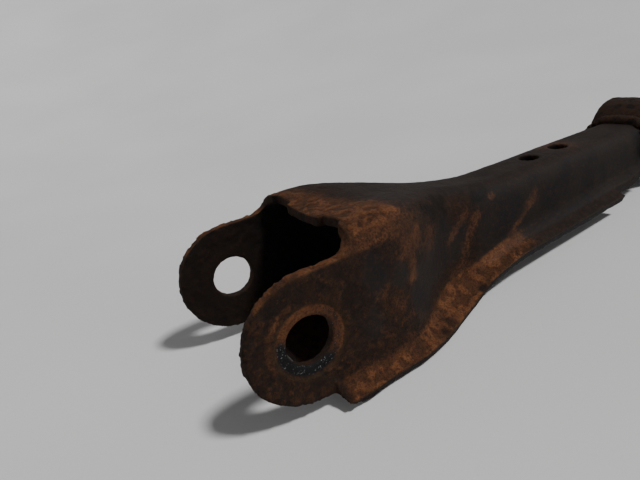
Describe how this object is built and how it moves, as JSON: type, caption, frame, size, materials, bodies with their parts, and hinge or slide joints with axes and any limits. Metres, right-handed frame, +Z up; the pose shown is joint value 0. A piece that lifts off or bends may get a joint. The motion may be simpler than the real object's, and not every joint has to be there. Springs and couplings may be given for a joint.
{
  "type": "suspension control arm",
  "caption": "Pressed-steel suspension control arm: a channel closed by a bottom plate, with a bolt fork at its wide end and a welded eye with a bonded rubber bush at the other.",
  "frame": {"origin": "middle of the fork's bolt axis, halfway between the two ears", "axes": "+X along the arm from the fork to the bush, +Y along the fork's bolt, +Z up through the web, with the channel's lips and closing plate down"},
  "size_m": [0.2067, 0.0628, 0.043],
  "materials": {
    "pressed_steel": "rusted, with worn dark paint",
    "plate_steel": "dark brown rust",
    "eye_steel": "rusted, with worn dark paint",
    "sleeve_steel": "lightly rusted",
    "bush_rubber": "matt, weathered",
    "weld_metal": "rusted, rippled"
  },
  "bodies": {
    "arm": {"arm_channel": "pressed_steel", "closing_plate": "plate_steel", "eye_tube": "eye_steel", "bush_outer_sleeve": "sleeve_steel", "bush_rubber": "bush_rubber", "weld_bead_top": "weld_metal", "weld_bead_left": "weld_metal", "weld_bead_right": "weld_metal"},
    "bush_inner": {"bush_inner_sleeve": "sleeve_steel"}
  },
  "joints": [
    {"name": "bush_twist", "type": "hinge", "parent": "arm", "child": "bush_inner", "pos_m": [0.1744, 0, 0.0038], "axis": [0, 1, 0], "range_deg": [-20, 20], "stiffness_Nm_per_rad": 60}
  ]
}
